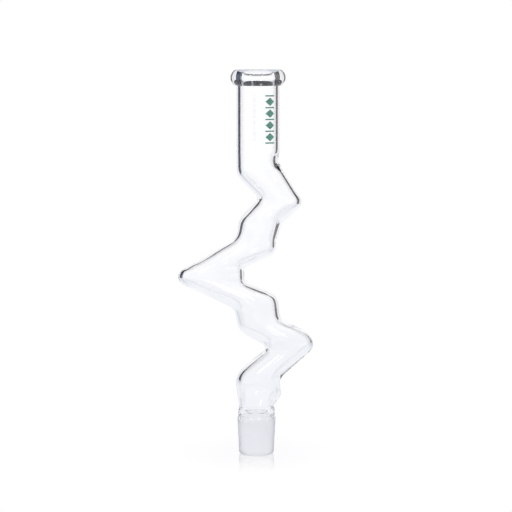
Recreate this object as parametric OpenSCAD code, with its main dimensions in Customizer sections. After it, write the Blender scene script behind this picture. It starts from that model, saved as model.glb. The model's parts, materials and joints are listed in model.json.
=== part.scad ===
// Zigzag glass neck section with a thick mouth ring and a 1:10 ground joint.
// It stands upright on its joint: +Z up, the elbows lie in the XZ plane, and the
// origin is the centre of the joint's foot. Millimetres.

/* [Neck] */
// Outside diameter of the straight neck
neck_d = 45; // [43:0.5:47]
// How far the neck's axis stands to the right of the joint's axis
neck_shift = 1.6; // [0:0.1:3]
// Wall of the neck, which the rest of the tube shares in proportion
wall = 3.8; // [3:0.1:4.5]
// Height of the part, from the foot to the top of the mouth ring
total_h = 401; // [390:1:420]

/* [Mouth ring] */
// Largest diameter of the ring
ring_d = 57.2; // [54:0.2:62]
// Height of the ring
ring_h = 16.5; // [14:0.5:20]
// How far the ring's flat ends stand out from the neck
ring_step = 0.7; // [0.2:0.1:1.5]
// Width of the rounding at the mouth's inner edge
lip_w = 4.2; // [3:0.1:4.4]
// Height of the rounding at the mouth's inner edge
lip_h = 5.5; // [4:0.1:7]

/* [Elbows] */
// Reach of elbow 1 to the right, to its unrounded corner
elbow_1_reach = 50; // [46:0.5:54]
// Reach of elbow 2 to the left, to its unrounded corner
elbow_2_reach = 92.5; // [86:0.5:98]
// Reach of elbow 3 to the right, to its unrounded corner
elbow_3_reach = 62.5; // [58:0.5:66]
// Height of elbow 1
elbow_1_z = 263.5; // [262:0.5:266]
// Height of elbow 2
elbow_2_z = 186; // [182:0.5:190]
// Height of elbow 3
elbow_3_z = 114.5; // [112:0.5:118]
// Half thickness of the tube at elbow 2, front to back
elbow_2_half_depth = 21.2; // [18:0.2:24]

/* [Bulb] */
// Height of the bulb's widest place
bulb_z = 72; // [70:1:74]
// Left edge of the bulb, from the joint's axis
bulb_left = 21.4; // [20:0.2:23]
// Right edge of the bulb, from the joint's axis
bulb_right = 25.5; // [24:0.2:27]
// Diameter of the weld waist under the bulb
waist_d = 36.6; // [35:0.2:38]

/* [Ground joint] */
// Diameter of the ground cone's large end, a standard size
cone_d = 40; // [39.6:0.1:40.4]
// Length of the ground cone, a standard size
cone_l = 38; // [36:1:40]
// Clear shank above the cone
shank_l = 12.8; // [11:0.2:15]
// Diameter of the clear shank
shank_d = 38.6; // [38:0.1:39.2]
// Diameter of the joint's bore
joint_bore_d = 30.4; // [29:0.2:31]
// Height and width of the chamfer at the foot
foot_chamfer = 1.9; // [1:0.1:2]

/* [Neck mark] */
// Middle of the mark, above the foot
mark_z = 350.5; // [345:0.5:355]
// Direction of the mark, from the front towards the right
mark_turn = 33; // [20:1:60]
// Width of the mark around the neck
mark_w = 10.5; // [6:0.5:12]
// Diamonds in the mark
mark_diamonds = 4; // [3:1:5]
// Distance from one diamond to the next
mark_pitch = 12; // [11:0.5:13]
// Thickness of the fired enamel
mark_t = 0.15; // [0.1:0.05:0.3]

/* [Hidden] */

neck_r = neck_d / 2;
bore_r = neck_r - wall;
ring_z = total_h - ring_h;
waist_z = cone_l + shank_l;
waist_r = waist_d / 2;
joint_bore_r = joint_bore_d / 2;
waist_share = (waist_r - joint_bore_r) / wall;
bend_z = 318;

taper = 1 / 10;
ring_sides = 28;
level_step = 5;
nearest_levels = 1.2;
arc_steps = 12;
smallest_inner_radius = 1;
seat = 0.05;
$fn = 128;

glass = [0.80, 0.87, 0.90, 0.45];
frosted = [0.86, 0.88, 0.91];
enamel = [0.16, 0.40, 0.32];

// The left side of the bent tube, from the top down. Each row is a corner: x, height,
// radius of the corner, and how much of the neck's wall the glass has there. Bending
// pulls it thinner on the outside of an elbow, and gathers it on the inside.
left_side = [
    [neck_shift - neck_r, bend_z, 0, 1],
    [neck_shift - neck_r, 292.5, 23, 1],
    [1.5, elbow_1_z + 5, 2, 1.1],
    [-18.5, 248.5, 25, 1.15],
    [-20.5, 227, 17, 0.8],
    [-elbow_2_reach, elbow_2_z, 9.5, 0.85],
    [-23.5, 153.5, 10, 0.9],
    [-18.5, 130, 16, 0.9],
    [12.5, elbow_3_z - 2, 4.5, 0.6],
    [-bulb_left - 1.3, bulb_z + 12, 22, 1.1],
    [1.6 - bulb_left, 60.5, 16, 1.05],
    [-waist_r, waist_z, 0, waist_share],
];

// The right side, the same way.
right_side = [
    [neck_shift + neck_r, bend_z, 0, 1],
    [neck_shift + neck_r - 0.8, 314, 4, 1.1],
    [22.5, 306.8, 2, 1.3],
    [27, 298, 12, 0.85],
    [elbow_1_reach, elbow_1_z, 9, 1],
    [28, 243.5, 5, 1.4],
    [20.5, 224.5, 3, 0.9],
    [21.5, 211.5, 13, 0.9],
    [-13, 196, 2, 1],
    [-12.5, 181.5, 2, 1],
    [22, 169, 18, 0.9],
    [25, 143, 7, 1.1],
    [51.5, 129.5, 22, 0.35],
    [elbow_3_reach, elbow_3_z, 10, 0.55],
    [bulb_right - 2, bulb_z + 7, 14, 0.95],
    [bulb_right + 0.8, 62.5, 9, 1.3],
    [waist_r, waist_z, 0, waist_share],
];

// The tube from front to back: height, half depth, and how much of the neck's wall the
// glass has there. Under bulb_z the tube is round, so its depth follows its width.
depth_rows = [
    [bulb_z, (bulb_left + bulb_right) / 2, 1],
    [elbow_3_z, 22.6, 0.75],
    [elbow_2_z, elbow_2_half_depth, 0.8],
    [elbow_1_z, 22.4, 0.9],
    [bend_z, neck_r, 1],
];

function flat(corner) = [corner.x, corner.y];
function unit(v) = v / norm(v);
function heading(corners, i) = unit(flat(corners[i + 1]) - flat(corners[i]));

// An arc of radius r that rounds the corner q between its neighbours p and s.
function corner_arc(p, q, s, r) =
    let (
        to_p = unit(p - q),
        to_s = unit(s - q),
        half = acos(to_p * to_s) / 2,
        centre = q + unit(to_p + to_s) * r / sin(half),
        from = q + to_p * r / tan(half) - centre,
        side = sign(cross(to_p, to_s)),
        start = atan2(from.y, from.x),
        sweep = side * (2 * half - 180)
    )
    [for (k = [0 : arc_steps])
        let (a = start + sweep * k / arc_steps) centre + r * [cos(a), sin(a)]];

// A side with its corners rounded, as points.
function rounded(corners) = [
    flat(corners[0]),
    for (i = [1 : len(corners) - 2])
        each corner_arc(flat(corners[i - 1]), flat(corners[i]), flat(corners[i + 1]),
                        corners[i][2]),
    flat(corners[len(corners) - 1]),
];

// The same side moved in by its wall: inward is 1 for the left side and -1 for the right.
// The two ends move level, so that the bores of the neck and the joint run on.
function moved_in(corners, inward) = [
    for (i = [0 : len(corners) - 1])
        let (
            before = heading(corners, max(i - 1, 0)),
            after = heading(corners, min(i, len(corners) - 2)),
            n1 = inward * [-before.y, before.x],
            n2 = inward * [-after.y, after.x],
            local_wall = wall * corners[i][3],
            is_end = i == 0 || i == len(corners) - 1,
            way = is_end ? [inward, 0] : (n1 + n2) / (1 + n1 * n2),
            place = flat(corners[i]) + local_wall * way,
            bulges = sign(inward * cross(before, after))
        )
        [place.x, place.y, max(corners[i][2] - bulges * local_wall, smallest_inner_radius)]
];

// x of a rounded side at height z.
function x_at(points, z) = lookup(z, [for (p = points) [p.y, p.x]]);

// The row of depth_rows for height z, eased from one row to the next.
function eased_depth(z, i = 0) =
    i + 2 < len(depth_rows) && z > depth_rows[i + 1][0] ? eased_depth(z, i + 1) :
    let (
        low = depth_rows[i],
        high = depth_rows[i + 1],
        t = min(max((z - low[0]) / (high[0] - low[0]), 0), 1)
    )
    low + (high - low) * (1 - cos(180 * t)) / 2;

// Numbers in rising order, leaving out any that is too near another.
function sorted(v) =
    len(v) < 2 ? v :
    let (
        pivot = v[floor(len(v) / 2)],
        less = [for (x = v) if (x < pivot - nearest_levels) x],
        more = [for (x = v) if (x > pivot + nearest_levels) x]
    )
    [each sorted(less), pivot, each sorted(more)];

outer_left = rounded(left_side);
outer_right = rounded(right_side);
inner_left = rounded(moved_in(left_side, 1));
inner_right = rounded(moved_in(right_side, -1));

// The heights where a rounded side's arcs start, turn half way, and end.
function arc_heights(points) = [
    for (k = [1 : len(points) - 2])
        if ((k - 1) % (arc_steps + 1) % (arc_steps / 2) == 0) points[k].y
];

// A ring lies at each of those heights, and at even steps between them.
arc_levels = sorted([
    waist_z, each arc_heights(outer_left), each arc_heights(outer_right), bend_z
]);
levels = [
    for (i = [0 : len(arc_levels) - 2])
        let (
            low = arc_levels[i],
            gap = arc_levels[i + 1] - low,
            steps = ceil(gap / level_step)
        )
        for (k = [0 : steps - 1]) low + gap * k / steps
];

// A horizontal ellipse as points.
function ellipse(x, half_w, half_d, z) = [
    for (k = [0 : ring_sides - 1])
        let (a = 360 * k / ring_sides) [x + half_w * cos(a), half_d * sin(a), z]
];

// The tube's ring at height z, between a left and a right side. skin is 0 for the outer
// skin, and the neck's wall for the inner one.
function ring_points(left, right, z, skin) =
    let (
        low_x = x_at(left, z),
        high_x = x_at(right, z),
        half_w = (high_x - low_x) / 2,
        depth = eased_depth(z),
        half_d = z < bulb_z ? half_w : depth[1] - skin * depth[2]
    )
    ellipse((low_x + high_x) / 2, half_w, half_d, z);

// The top ring, which stands just inside the neck's wall so that the two share a flat face.
function top_ring(r) = ellipse(neck_shift, r, r, bend_z);

// The wall between two skins of rings, closed at both ends.
module bent_tube() {
    last = len(levels);
    n = ring_sides;
    count = n * (last + 1);
    outside = [
        for (z = levels) each ring_points(outer_left, outer_right, z, 0),
        each top_ring(neck_r - seat),
    ];
    inside = [
        for (z = levels) each ring_points(inner_left, inner_right, z, wall),
        each top_ring((bore_r + seat) / cos(180 / ring_sides)),
    ];
    polyhedron(
        points = [each outside, each inside],
        faces = [
            for (i = [0 : last - 1]) for (k = [0 : n - 1])
                let (a = i * n + k, b = i * n + (k + 1) % n)
                each [
                    [a, a + n, b],
                    [b, a + n, b + n],
                    [count + a, count + b, count + a + n],
                    [count + b, count + b + n, count + a + n],
                ],
            for (k = [0 : n - 1])
                let (next = (k + 1) % n, top = last * n)
                each [
                    [k, next, count + k],
                    [next, count + next, count + k],
                    [top + k, count + top + k, top + next],
                    [top + next, count + top + k, count + top + next],
                ],
        ]
    );
}

// The straight neck, from the first bend up to the ring.
module straight_neck() {
    translate([neck_shift, 0, bend_z])
        difference() {
            cylinder(r = neck_r, h = ring_z - bend_z);
            translate([0, 0, -1]) cylinder(r = bore_r, h = ring_z - bend_z + 2);
        }
}

module body_tube() {
    color(glass) {
        straight_neck();
        bent_tube();
    }
}

// Half of the ring's section: a round bead outside, and a lip that rolls into the bore.
// The bead is an arc from one flat end to the other, ring_d across at its middle.
module ring_section() {
    crown_r = bore_r + lip_w;
    half_h = ring_h / 2;
    bulge = ring_d / 2 - neck_r - ring_step;
    bead_r = (half_h * half_h + bulge * bulge) / (2 * bulge);
    bead_end = atan2(half_h, bead_r - bulge);
    bead = [
        for (k = [-12 : 12])
            let (a = bead_end * k / 12)
            [ring_d / 2 - bead_r * (1 - cos(a)), half_h + bead_r * sin(a)]
    ];
    lip = [
        for (a = [97.5 : 7.5 : 180])
            [crown_r + lip_w * cos(a), ring_h - lip_h * (1 - sin(a))]
    ];
    polygon([[bore_r, 0], [neck_r, 0], each bead, each lip]);
}

module mouth_ring() {
    color(glass)
        translate([neck_shift, 0, ring_z])
            rotate_extrude() ring_section();
}

// Half of the joint's section: foot, ground cone, shoulder, then the shank to the weld.
module joint_section() {
    cone_r = cone_d / 2;
    shank_r = shank_d / 2;
    foot_r = cone_r - cone_l * taper / 2;
    shoulder = 0.8;
    neck_in = 5;
    polygon([
        [joint_bore_r, 0],
        [foot_r - foot_chamfer, 0],
        [foot_r + foot_chamfer * taper / 2, foot_chamfer],
        [cone_r, cone_l],
        [shank_r, cone_l + shoulder],
        [shank_r, waist_z - neck_in],
        [shank_r - 0.25, waist_z - neck_in / 2],
        [waist_r, waist_z],
        [joint_bore_r, waist_z],
    ]);
}

module ground_joint() {
    color(frosted) rotate_extrude() joint_section();
}

// The mark seen flat: a column of diamonds with a short bar between neighbours.
module mark_pattern() {
    bar = 1.4;
    for (i = [0 : mark_diamonds - 1])
        translate([0, (i - (mark_diamonds - 1) / 2) * mark_pitch])
            polygon([[0, -mark_pitch * 0.36], [mark_w / 2, 0],
                     [0, mark_pitch * 0.36], [-mark_w / 2, 0]]);
    for (i = [0 : mark_diamonds])
        translate([0, (i - mark_diamonds / 2) * mark_pitch])
            square([mark_w, bar], center = true);
}

module neck_mark() {
    reach = neck_r + 2;
    color(enamel)
        translate([neck_shift, 0, mark_z])
            intersection() {
                rotate([0, 0, mark_turn])
                    rotate([90, 0, 0])
                        linear_extrude(height = reach) mark_pattern();
                translate([0, 0, -mark_pitch * mark_diamonds])
                    difference() {
                        cylinder(r = neck_r + mark_t, h = 2 * mark_pitch * mark_diamonds);
                        cylinder(r = neck_r, h = 2 * mark_pitch * mark_diamonds);
                    }
            }
}

mouth_ring();
body_tube();
ground_joint();
neck_mark();
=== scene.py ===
"""Looks of the zigzag glass neck section.

Clear glass for the mouth ring, the bent tube and the joint's shank, ground glass for the
joint's cone, and fired enamel for the mark on the neck. It stands on a white table in
front of a white backdrop, with dark studio to the sides, which is what draws glass.
"""

import json
import math

import bpy
import numpy as np
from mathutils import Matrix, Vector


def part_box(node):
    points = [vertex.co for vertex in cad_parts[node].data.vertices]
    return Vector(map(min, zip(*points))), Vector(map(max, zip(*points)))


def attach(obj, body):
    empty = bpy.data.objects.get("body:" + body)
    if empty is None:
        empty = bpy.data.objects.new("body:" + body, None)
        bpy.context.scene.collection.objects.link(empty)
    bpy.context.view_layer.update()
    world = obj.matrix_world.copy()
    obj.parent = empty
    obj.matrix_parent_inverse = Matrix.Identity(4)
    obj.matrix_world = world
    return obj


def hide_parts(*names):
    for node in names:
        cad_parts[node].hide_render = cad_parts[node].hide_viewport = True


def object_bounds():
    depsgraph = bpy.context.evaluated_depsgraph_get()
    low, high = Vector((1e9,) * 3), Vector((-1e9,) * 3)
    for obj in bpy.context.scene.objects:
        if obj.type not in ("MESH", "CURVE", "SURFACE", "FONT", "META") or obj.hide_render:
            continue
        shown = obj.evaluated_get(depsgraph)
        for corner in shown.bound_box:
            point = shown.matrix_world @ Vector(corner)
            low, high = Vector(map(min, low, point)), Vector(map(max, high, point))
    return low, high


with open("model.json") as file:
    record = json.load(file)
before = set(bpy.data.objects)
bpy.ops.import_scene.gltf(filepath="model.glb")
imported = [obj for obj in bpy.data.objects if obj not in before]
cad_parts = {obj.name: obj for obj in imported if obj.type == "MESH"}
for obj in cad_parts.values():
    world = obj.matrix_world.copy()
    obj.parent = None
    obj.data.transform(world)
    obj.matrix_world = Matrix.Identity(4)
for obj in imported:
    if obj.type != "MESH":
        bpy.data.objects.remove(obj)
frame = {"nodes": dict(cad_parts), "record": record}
cad_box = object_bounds()
mounts = {m["name"]: m for m in frame["record"]["mounts"]}

MM = 0.001

# ---------------------------------------------------------------- sizes, from the frame

NECK_X = mounts["neck_grip"]["pos_m"][0]
NECK_R = mounts["neck_grip"]["dims"]["r_mm"] * MM
BORE_R = mounts["mouth_bore"]["dims"]["r_mm"] * MM
CONE_R = mounts["ground_cone"]["dims"]["r_mm"] * MM
CONE_TOP = mounts["ground_cone"]["pos_m"][2]
RING_LOW, RING_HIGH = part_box("mouth_ring")
WAIST_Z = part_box("body_tube")[0].z

# ---------------------------------------------------------------- sizes of the finish

AROUND = 160  # points around each ring of a shell
TURN_SHARE = 0.02  # how far into its end bands a shell has one more ring

ON_PLANE = 2e-5  # a frame point this near the XZ plane lies on it
ON_CENTRE = 3e-5  # and this near the bore's centre, it is the bore's deepest point
LEAST_DEPTH = 5 * MM
RING_STEP = 1.1 * MM  # height between the bent tube's rings
MELT = 1.3 * MM  # spread of the softening at the tube's corners
PINCH = 1.5 * MM  # height in which the tube eases into the weld at its foot
NECK_EASE = 4 * MM  # from the last bent ring up to the straight neck
NECK_HOLD = 8 * MM

RING_ARC_R = 9 * MM  # the mouth ring's round outside
LIP_W = 4.2 * MM
LIP_DEPTH = 5.5 * MM
LIP_TURN = (175, 95)  # degrees around the lip, from the bore up to the crown
GROOVE_DEPTH = 0.5 * MM  # in the ring's bore, where the ring is fused to the neck
GROOVE_H = 8 * MM
ARC_RINGS, GROOVE_RINGS, LIP_RINGS = 56, 20, 17

SHANK_R = 19.3 * MM
JOINT_BORE_R = mounts["foot_bore"]["dims"]["r_mm"] * MM
FOOT_CHAMFER = 1.9 * MM
TAPER = 1 / 10
SHOULDER_H = 0.8 * MM
SHOULDER_EDGE = 0.02 * MM  # a tiny bevel, which keeps the shoulder's shading sharp
NECK_IN_H = 5 * MM  # from the shank in to the waist
CONE_RINGS, NECK_IN_RINGS, BORE_RINGS = 12, 14, 12

GLASS_IOR = 1.47
PLAIN_WHITE = (1, 1, 1, 1)


# ---------------------------------------------------------------- mesh helpers


def smooth_rows(levels, rows, wanted):
    """Rows of numbers at the wanted levels, on a monotone cubic through the given ones."""
    steps = np.diff(levels)
    slopes = np.diff(rows, axis=0) / steps[:, None]
    before, after = slopes[:-1], slopes[1:]
    same_way = before * after > 0
    total = np.where(same_way, before + after, 1.0)
    tangents = np.vstack(
        [slopes[:1], np.where(same_way, 2 * before * after / total, 0.0), slopes[-1:]]
    )
    k = np.clip(np.searchsorted(levels, wanted) - 1, 0, len(steps) - 1)
    h = steps[k][:, None]
    t = ((wanted - levels[k]) / steps[k])[:, None]
    return (
        (1 + 2 * t) * (1 - t) ** 2 * rows[k]
        + t * (1 - t) ** 2 * h * tangents[k]
        + t**2 * (3 - 2 * t) * rows[k + 1]
        + t**2 * (t - 1) * h * tangents[k + 1]
    )


def softened(rows):
    """Rows at even steps with their small kinks melted away, as the flame leaves glass."""
    reach = round(3 * MELT / RING_STEP)
    weights = np.exp(-0.5 * (np.arange(-reach, reach + 1) * RING_STEP / MELT) ** 2)
    weights /= weights.sum()
    first, last = rows[:1], rows[-1:]
    padded = np.vstack([2 * first - rows[reach:0:-1], rows, 2 * last - rows[-2:-reach - 2:-1]])
    return np.stack([np.convolve(column, weights, "valid") for column in padded.T], axis=1)


def with_turns(rings):
    """The rings with one more beside each end, so that the shading turns sharply there."""
    first, last = (rings[k] + (rings[j] - rings[k]) * TURN_SHARE for k, j in ((0, 1), (-1, -2)))
    return [rings[0], first, *rings[1:-1], last, rings[-1]]


def shell(name, outside, inside, materials, slot_of):
    """A closed piece from two stacks of rings, joined by a flat rim at each end.

    slot_of(part, i) gives the material slot: part is "outside", "inside", "low" or "high".
    """
    mesh = bpy.data.meshes.new(name)
    outside, inside = with_turns(outside), with_turns(inside)
    points = np.concatenate([np.concatenate(outside), np.concatenate(inside)])
    n, rings, inner = AROUND, len(outside), len(outside) * AROUND
    faces, slots, smooth = [], [], []
    for part, row, inner_row in (("low", 0, inner), ("high", inner - n, len(points) - n)):
        for k in range(n):
            j = (k + 1) % n
            quad = (row + k, inner_row + k, inner_row + j, row + j)
            faces.append(quad if part == "low" else quad[::-1])
            slots.append(slot_of(part, 0))
            smooth.append(False)
    for part, count, base in (("outside", rings, 0), ("inside", len(inside), inner)):
        for i in range(count - 1):
            for k in range(n):
                a, b = base + i * n + k, base + i * n + (k + 1) % n
                quad = (a, b, b + n, a + n)
                faces.append(quad if part == "outside" else quad[::-1])
                slots.append(slot_of(part, i - 1))
                smooth.append(True)
    mesh.from_pydata(points.tolist(), [], faces)
    mesh.polygons.foreach_set("material_index", slots)
    mesh.polygons.foreach_set("use_smooth", smooth)
    for material in materials:
        mesh.materials.append(material)
    mesh.validate()
    piece = bpy.data.objects.new(name, mesh)
    bpy.context.scene.collection.objects.link(piece)
    return piece


def ellipse(x, half_w, half_d, z):
    turn = np.arange(AROUND) * (2 * math.pi / AROUND)
    return np.stack(
        [x + half_w * np.cos(turn), half_d * np.sin(turn), np.full(AROUND, z)], axis=1
    )


def circles(x, profile):
    return [ellipse(x, r, r, z) for r, z in profile]


# ---------------------------------------------------------------- glass pieces


def tube_rows():
    """The bent tube's rings in the frame: heights, and both skins' left, right and depth."""
    rings = {}
    for v in frame["nodes"]["body_tube"].data.vertices:
        rings.setdefault(round(v.co.z, 5), set()).add((round(v.co.x, 5), round(v.co.y, 5)))
    levels, rows = [], []
    for z in sorted(rings):
        across = sorted(x for x, y in rings[z] if abs(y) < ON_PLANE)
        if len(across) != 4:
            continue
        left, inner_left, inner_right, right = across
        centre, inner_centre = (left + right) / 2, (inner_left + inner_right) / 2
        depth = max(y for _, y in rings[z])
        inner_depth = min(
            y for x, y in rings[z] if abs(x - inner_centre) < ON_CENTRE and y > LEAST_DEPTH
        )
        levels.append(z)
        rows.append((left, right, depth, inner_left, inner_right, inner_depth))
    neck = (NECK_X - NECK_R, NECK_X + NECK_R, NECK_R, NECK_X - BORE_R, NECK_X + BORE_R, BORE_R)
    neck_foot = levels[-1] + NECK_EASE
    for z in (neck_foot, neck_foot + NECK_HOLD, RING_LOW.z):
        levels.append(z)
        rows.append(neck)
    return np.array(levels), np.array(rows)


def bent_tube(materials):
    """The neck, the three elbows and the bulb, with finer rings than the frame's."""
    levels, rows = tube_rows()
    count = round((levels[-1] - levels[0]) / RING_STEP)
    heights = np.linspace(levels[0], levels[-1], count)
    rows = softened(smooth_rows(levels, rows, heights))
    ease = np.clip((heights - heights[0]) / PINCH, 0, 1)[:, None]
    rows = rows[0] + (rows - rows[0]) * ease * (2 - ease)
    outside, inside = [], []
    for z, row in zip(heights, rows):
        left, right, depth, inner_left, inner_right, inner_depth = row
        outside.append(ellipse((left + right) / 2, (right - left) / 2, depth, z))
        inside.append(
            ellipse((inner_left + inner_right) / 2, (inner_right - inner_left) / 2,
                    inner_depth, z)
        )
    return shell("glass_tube", outside, inside, materials,
                 lambda part, i: 0 if part in ("outside", "inside") else 1)


def mouth_ring(materials):
    """A bead of glass: a round arc outside and a lip that rolls into the bore."""
    half_h = (RING_HIGH.z - RING_LOW.z) / 2
    arc_x = (RING_HIGH.x - RING_LOW.x) / 2 - RING_ARC_R
    reach = math.asin(half_h / RING_ARC_R)
    crown_r = BORE_R + LIP_W
    outer = [(NECK_R, RING_LOW.z)]
    for a in np.linspace(-reach, reach, ARC_RINGS):
        outer.append((arc_x + RING_ARC_R * math.cos(a),
                      RING_LOW.z + half_h + RING_ARC_R * math.sin(a)))
    inner = []
    for t in np.linspace(0, 1, GROOVE_RINGS):
        swell = GROOVE_DEPTH * (1 - math.cos(2 * math.pi * t)) / 2
        inner.append((BORE_R + swell, RING_LOW.z + GROOVE_H * t))
    inner.append((BORE_R, RING_HIGH.z - LIP_DEPTH))
    for a in np.radians(np.linspace(*LIP_TURN, LIP_RINGS)):
        inner.append((crown_r + LIP_W * math.cos(a),
                      RING_HIGH.z - LIP_DEPTH * (1 - math.sin(a))))
    return shell("glass_mouth_ring", circles(NECK_X, outer), circles(NECK_X, inner),
                 materials, lambda part, i: 1 if part == "low" else 0)


def joint(materials):
    """Foot, ground cone, shoulder and clear shank. Slots: clear, weld, ground."""
    foot_r = CONE_R - CONE_TOP * TAPER / 2
    waist_r = tube_rows()[1][0][1]
    neck_in = WAIST_Z - NECK_IN_H
    ground = [(foot_r - FOOT_CHAMFER, 0.0)]
    for t in np.linspace(0, 1, CONE_RINGS):
        z = FOOT_CHAMFER + (CONE_TOP - FOOT_CHAMFER) * t
        ground.append((foot_r + z * TAPER / 2, z))
    edge = SHOULDER_EDGE
    shoulder = CONE_TOP + SHOULDER_H
    clear = [(CONE_R - edge, CONE_TOP + edge), (SHANK_R + edge, shoulder - edge),
             (SHANK_R, shoulder)]
    for t in np.linspace(0, 1, NECK_IN_RINGS):
        z = neck_in + (WAIST_Z - neck_in) * t
        clear.append((SHANK_R + (waist_r - SHANK_R) * (3 * t**2 - 2 * t**3), z))
    bore = [(JOINT_BORE_R, z) for z in np.linspace(0, WAIST_Z, BORE_RINGS)]

    def slot_of(part, i):
        if part == "high":
            return 1
        if part == "low" or (part == "outside" and i < len(ground) - 1):
            return 2
        return 0

    return shell("glass_joint", circles(0, ground + clear), circles(0, bore), materials, slot_of)


# ---------------------------------------------------------------- node helpers


class Graph:
    """A node tree built in few words: add() makes a node and fills its inputs."""

    def __init__(self, tree):
        self.tree = tree
        tree.nodes.clear()

    def add(self, kind, inputs=None, **settings):
        node = self.tree.nodes.new(kind)
        for name, value in settings.items():
            setattr(node, name, value)
        for name, value in (inputs or {}).items():
            socket = node.inputs[name]
            if isinstance(value, bpy.types.NodeSocket):
                self.tree.links.new(value, socket)
            else:
                socket.default_value = value
        return node

    def math(self, operation, a, b=0.0):
        return self.add("ShaderNodeMath", {0: a, 1: b}, operation=operation).outputs[0]

    def fade(self, value, low, high):
        """0 under low, 1 over high, smooth between them."""
        node = self.add(
            "ShaderNodeMapRange",
            {"Value": value, "From Min": low, "From Max": high},
            interpolation_type="SMOOTHSTEP",
        )
        return node.outputs["Result"]

    def mix(self, factor, a, b):
        node = self.add("ShaderNodeMix", data_type="RGBA")
        for socket, value in ((node.inputs[0], factor), (node.inputs[6], a), (node.inputs[7], b)):
            if isinstance(value, bpy.types.NodeSocket):
                self.tree.links.new(value, socket)
            else:
                socket.default_value = value
        return node.outputs[2]

    def noise(self, scale, detail=3.0, vector=None):
        inputs = {"Scale": scale, "Detail": detail}
        inputs["Vector"] = vector or self.add("ShaderNodeTexCoord").outputs["Object"]
        return self.add("ShaderNodeTexNoise", inputs).outputs["Fac"]


def new_material(name):
    material = bpy.data.materials.new(name)
    material.use_nodes = True
    return material, Graph(material.node_tree)


def clear_glass():
    """Polished borosilicate: slow ripples from the flame, and a cool tint in its depth."""
    material, g = new_material("clear_glass")
    ripple = g.noise(28.0, 1.0)
    bump = g.add("ShaderNodeBump", {"Height": ripple, "Strength": 0.06, "Distance": 0.0004})
    glass = g.add(
        "ShaderNodeBsdfGlass",
        {"Color": (0.997, 0.998, 1.0, 1), "Roughness": 0.0, "IOR": GLASS_IOR,
         "Normal": bump.outputs[0]},
    )
    g.add("ShaderNodeOutputMaterial", {"Surface": glass.outputs[0]})
    return material


def weld_glass():
    """The face inside a flame weld. The glass runs on through it, so light passes straight."""
    material, g = new_material("weld_inside")
    clear = g.add("ShaderNodeBsdfTransparent", {"Color": PLAIN_WHITE})
    g.add("ShaderNodeOutputMaterial", {"Surface": clear.outputs[0]})
    return material


def ground_glass():
    """The cone's ground surface: a fine even grain with faint turning marks, and painted shade that
    greys the frost where the surface turns edge-on to the camera.
    """
    material, g = new_material("ground_glass")
    place = g.add("ShaderNodeTexCoord").outputs["Object"]
    grain = g.noise(2600.0, 2.0, place)
    marks = g.add("ShaderNodeTexNoise", {
        "Scale": 1.0,
        "Detail": 2.0,
        "Vector": g.add("ShaderNodeMapping", {"Vector": place, "Scale": (30, 30, 1400)}).outputs[0],
    }).outputs["Fac"]
    height = g.math("ADD", grain, g.math("MULTIPLY", marks, 0.5))
    bump = g.add("ShaderNodeBump", {"Height": height, "Strength": 0.5, "Distance": 0.00006})
    roughness = g.math("ADD", g.math("MULTIPLY", g.noise(160.0), 0.14), 0.42)
    glass = g.add(
        "ShaderNodeBsdfGlass",
        {"Color": (0.99, 0.99, 1.0, 1), "Roughness": roughness, "IOR": GLASS_IOR,
         "Normal": bump.outputs[0]},
    )
    # painted shade: the frost's colour goes from near white to grey where the surface turns edge-on
    # to the camera
    edge_shade_mask = g.fade(g.add("ShaderNodeLayerWeight", {"Blend": 0.5}).outputs["Facing"], 0.3, 0.85)
    frost_tone_and_edge_shade = g.mix(edge_shade_mask, (0.94, 0.945, 0.965, 1), (0.5, 0.52, 0.57, 1))
    white = {"Color": frost_tone_and_edge_shade, "Normal": bump.outputs[0]}
    back = g.add("ShaderNodeBsdfDiffuse", white)
    on = g.add("ShaderNodeBsdfTranslucent", white)
    scatter = g.add("ShaderNodeMixShader", {0: 0.5, 1: back.outputs[0], 2: on.outputs[0]})
    frost = g.add("ShaderNodeMixShader", {0: 0.6, 1: glass.outputs[0], 2: scatter.outputs[0]})
    g.add("ShaderNodeOutputMaterial", {"Surface": frost.outputs[0]})
    return material


def fired_enamel():
    """A thin green print: slightly uneven ink with a soft gloss."""
    material, g = new_material("green_enamel")
    tone = g.mix(g.noise(420.0, 4.0), (0.035, 0.13, 0.095, 1), (0.075, 0.22, 0.165, 1))
    speck = g.fade(g.noise(1500.0, 2.0), 0.62, 0.7)
    colour = g.mix(speck, tone, (0.16, 0.33, 0.27, 1))
    bump = g.add("ShaderNodeBump", {"Height": g.noise(900.0), "Strength": 0.3, "Distance": 0.00003})
    ink = g.add(
        "ShaderNodeBsdfPrincipled",
        {"Base Color": colour, "Roughness": g.math("ADD", g.math("MULTIPLY", speck, 0.2), 0.34),
         "Normal": bump.outputs[0]},
    )
    g.add("ShaderNodeOutputMaterial", {"Surface": ink.outputs[0]})
    return material


# ---------------------------------------------------------------- studio

CARD_DISTANCE = 0.5
CARD_HALF_WIDTH = 0.268
CARD_SHIFT = 0.013  # the card stands this far to the right of the object
CARD_TOP = 0.475
# the card's glow, with painted shade: darker at the bottom than at the top
CARD_SHADED_LOW, CARD_HIGH = (0.86, 0.875, 0.915, 1), (0.99, 0.99, 1, 1)
CARD_SIDES = 96

TABLE_R = 0.9  # the disc of table top that the glass sees
TABLE_SIZE = 12.0
TABLE_DROP = 0.05 * MM
# the disc's glow for the glass, with painted shade: darker at the sides as the camera sees it
TABLE_MIDDLE, TABLE_SHADED_SIDES = (0.90, 0.915, 0.95, 1), (0.68, 0.71, 0.78, 1)
GLOSS_R = 0.1

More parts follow.
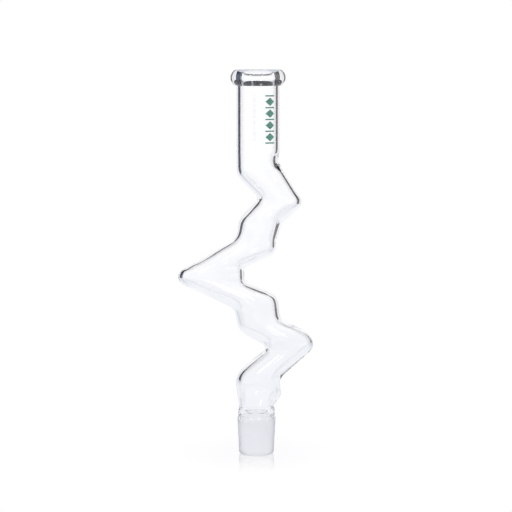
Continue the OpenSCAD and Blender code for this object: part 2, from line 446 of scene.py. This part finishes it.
SOFT_EDGE = 0.012
BEHIND = math.radians(76)  # half the turn that the dark studio takes up behind the glass
SOFT_TURN = math.radians(6)
OVERHEAD_FROM = math.radians(55)
DARK_LEFT, DARK_RIGHT = (0.035, 0.045, 0.085, 1), (0.12, 0.108, 0.12, 1)
DARK_ABOVE = (0.025, 0.027, 0.035, 1)
ROOM_WHITE = (1.12, 1.125, 1.14, 1)
FILL_WHITE = (1.5, 1.5, 1.52, 1)  # what the ground glass gets
LAMPS = ((math.radians(-148), math.radians(24)), (math.radians(163), math.radians(20)))
LAMP_HALF_SIZE = math.radians(7)
LAMP_WHITE = (7, 7, 7.2, 1)


def studio_light():
    """The room around the set: dark behind the glass, bright in front of it and overhead.

    Directions are taken from the camera, so glass is drawn the same way from every side.
    """
    world = bpy.data.worlds.new("studio")
    world.use_nodes = True
    bpy.context.scene.world = world
    g = Graph(world.node_tree)
    place = g.add("ShaderNodeTexCoord").outputs["Camera"]
    x, y, z = g.add("ShaderNodeSeparateXYZ", {0: place}).outputs[:3]
    across = g.math("ARCTAN2", x, z)
    level = g.math("SQRT", g.math("ADD", g.math("MULTIPLY", x, x), g.math("MULTIPLY", z, z)))
    up = g.math("ARCTAN2", y, level)
    side = g.mix(g.fade(across, -0.05, 0.05), DARK_LEFT, DARK_RIGHT)
    dark = g.mix(g.fade(up, 0.15, 0.35), side, DARK_ABOVE)
    aside = g.math("ABSOLUTE", across)
    front = g.fade(aside, BEHIND - SOFT_TURN, BEHIND + SOFT_TURN)
    overhead = g.fade(up, OVERHEAD_FROM - SOFT_TURN, OVERHEAD_FROM + SOFT_TURN)
    bright = g.math("MAXIMUM", front, overhead)
    room = g.mix(bright, dark, ROOM_WHITE)
    for lamp_across, lamp_up in LAMPS:
        aim = g.math("MAXIMUM", g.math("ABSOLUTE", g.math("SUBTRACT", across, lamp_across)),
                     g.math("ABSOLUTE", g.math("SUBTRACT", up, lamp_up)))
        room = g.mix(g.fade(aim, LAMP_HALF_SIZE, 0.7 * LAMP_HALF_SIZE), room, LAMP_WHITE)
    path = g.add("ShaderNodeLightPath").outputs
    room = g.mix(path["Is Diffuse Ray"], room, FILL_WHITE)
    colour = g.mix(path["Is Camera Ray"], room, PLAIN_WHITE)
    background = g.add("ShaderNodeBackground", {"Color": colour, "Strength": 1.0})
    g.add("ShaderNodeOutputWorld", {"Surface": background.outputs[0]})


def stage_mesh(name, points, faces, material):
    """A part of the set, which isn't part of the object."""
    mesh = bpy.data.meshes.new(name)
    mesh.from_pydata(points, [], faces)
    mesh.materials.append(material)
    piece = bpy.data.objects.new(name, mesh)
    bpy.context.scene.collection.objects.link(piece)


def place_for_eye(g):
    """A point of the set as the camera sees it: across, height, and depth behind the origin."""
    place = g.add("ShaderNodeTexCoord").outputs["Object"]
    flat = g.add("ShaderNodeVectorMath", {0: place, 1: (1, 1, 0)}, operation="MULTIPLY")
    turned = g.add("ShaderNodeVectorTransform", {0: flat.outputs[0]},
                   vector_type="VECTOR", convert_from="WORLD", convert_to="CAMERA")
    across, _, depth = g.add("ShaderNodeSeparateXYZ", {0: turned.outputs[0]}).outputs[:3]
    return across, g.add("ShaderNodeSeparateXYZ", {0: place}).outputs[2], depth


def white_card():
    """A white card behind the glass, on a cylinder that the eye itself looks through.

    It is the part of the cylinder that lies behind the object as the camera sees it. It glows by
    itself, with painted shade that darkens it towards the bottom.
    """
    material, g = new_material("card_white")
    across, height, depth = place_for_eye(g)
    aside = g.math("ABSOLUTE", g.math("SUBTRACT", across, CARD_SHIFT))
    beside = g.fade(aside, CARD_HALF_WIDTH - SOFT_EDGE, CARD_HALF_WIDTH + SOFT_EDGE)
    over = g.fade(height, CARD_TOP - 2 * SOFT_EDGE, CARD_TOP)
    in_front = g.math("LESS_THAN", depth, 0.0)
    for_eye = g.add("ShaderNodeLightPath").outputs["Is Camera Ray"]
    clear = g.math("MAXIMUM", g.math("MAXIMUM", beside, over),
                   g.math("MAXIMUM", in_front, for_eye))
    # painted shade: the card's glow darkens towards the bottom
    tone = g.mix(g.fade(height, -0.1, 0.3), CARD_SHADED_LOW, CARD_HIGH)
    white = g.add("ShaderNodeEmission", {"Color": tone, "Strength": 1.0})
    through = g.add("ShaderNodeBsdfTransparent")
    shown = g.add("ShaderNodeMixShader", {0: clear, 1: white.outputs[0], 2: through.outputs[0]})
    g.add("ShaderNodeOutputMaterial", {"Surface": shown.outputs[0]})
    n = CARD_SIDES
    turn = [2 * math.pi * k / n for k in range(n)]
    points = [(CARD_DISTANCE * math.sin(a), CARD_DISTANCE * math.cos(a), z)
              for z in (cad_box[0].z, CARD_TOP) for a in turn]
    faces = [(k, (k + 1) % n, n + (k + 1) % n, n + k) for k in range(n)]
    stage_mesh("card", points, faces, material)


def table():
    """A white table top. The eye sees it without an edge, and glossy around the foot.

    The glass sees only a disc of it, TABLE_R wide, and dark studio beyond. That disc glows grey by
    itself, with painted shade that darkens it towards the sides as the camera sees it.
    """
    material, g = new_material("table_white")
    place = g.add("ShaderNodeTexCoord").outputs["Object"]
    distance = g.add("ShaderNodeVectorMath", {0: place}, operation="LENGTH").outputs["Value"]
    white = g.add("ShaderNodeEmission", {"Color": PLAIN_WHITE, "Strength": 1.0})
    gloss = g.add("ShaderNodeBsdfGlossy", {"Color": PLAIN_WHITE, "Roughness": 0.12})
    near = g.math("SUBTRACT", 1.0, g.fade(distance, CONE_R * 0.8, GLOSS_R))
    surface = g.add("ShaderNodeMixShader", {0: g.math("MULTIPLY", near, 0.45),
                                            1: white.outputs[0], 2: gloss.outputs[0]})
    across = g.math("ABSOLUTE", place_for_eye(g)[0])
    # painted shade: the disc darkens towards the sides as the camera sees it
    tone = g.mix(g.fade(across, 0.12, 0.32), TABLE_MIDDLE, TABLE_SHADED_SIDES)
    disc = g.add("ShaderNodeEmission", {"Color": tone, "Strength": 1.0})
    through = g.add("ShaderNodeBsdfTransparent")
    edge = g.fade(distance, TABLE_R - 2 * SOFT_EDGE, TABLE_R + 2 * SOFT_EDGE)
    finite = g.add("ShaderNodeMixShader", {0: edge, 1: disc.outputs[0], 2: through.outputs[0]})
    seen = g.add("ShaderNodeLightPath").outputs["Is Camera Ray"]
    shown = g.add("ShaderNodeMixShader", {0: seen, 1: finite.outputs[0], 2: surface.outputs[0]})
    g.add("ShaderNodeOutputMaterial", {"Surface": shown.outputs[0]})
    low = cad_box[0].z - TABLE_DROP
    corners = [(x * TABLE_SIZE, y * TABLE_SIZE, low)
               for x, y in ((-1, -1), (1, -1), (1, 1), (-1, 1))]
    stage_mesh("table", corners, [(0, 1, 2, 3)], material)


def camera():
    """A long lens a little above the mouth, looking down at the middle of the part."""
    distance, height, down = 1.84, 0.4114, math.radians(6.3)
    data = bpy.data.cameras.new("camera")
    data.sensor_width = 36.0
    data.lens = 125.2
    eye = bpy.data.objects.new("camera", data)
    eye.location = (-0.5 * MM, -distance, height)
    eye.rotation_euler = (math.pi / 2 - down, 0, 0)
    bpy.context.scene.collection.objects.link(eye)
    bpy.context.scene.camera = eye


# ---------------------------------------------------------------- the object

clear, weld, ground = clear_glass(), weld_glass(), ground_glass()

tube = bent_tube([clear, weld])
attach(tube, "root")
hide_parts("body_tube")

ring = mouth_ring([clear, weld])
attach(ring, "root")
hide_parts("mouth_ring")

foot = joint([clear, weld, ground])
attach(foot, "root")
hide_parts("ground_joint")

mark = frame["nodes"]["neck_mark"]
mark.data.materials.clear()
mark.data.materials.append(fired_enamel())

studio_light()
white_card()
table()
camera()
bpy.context.scene.view_settings.view_transform = "Standard"
light_paths = bpy.context.scene.cycles
light_paths.max_bounces = 32
light_paths.transmission_bounces = 32
light_paths.glossy_bounces = 16
light_paths.transparent_max_bounces = 32
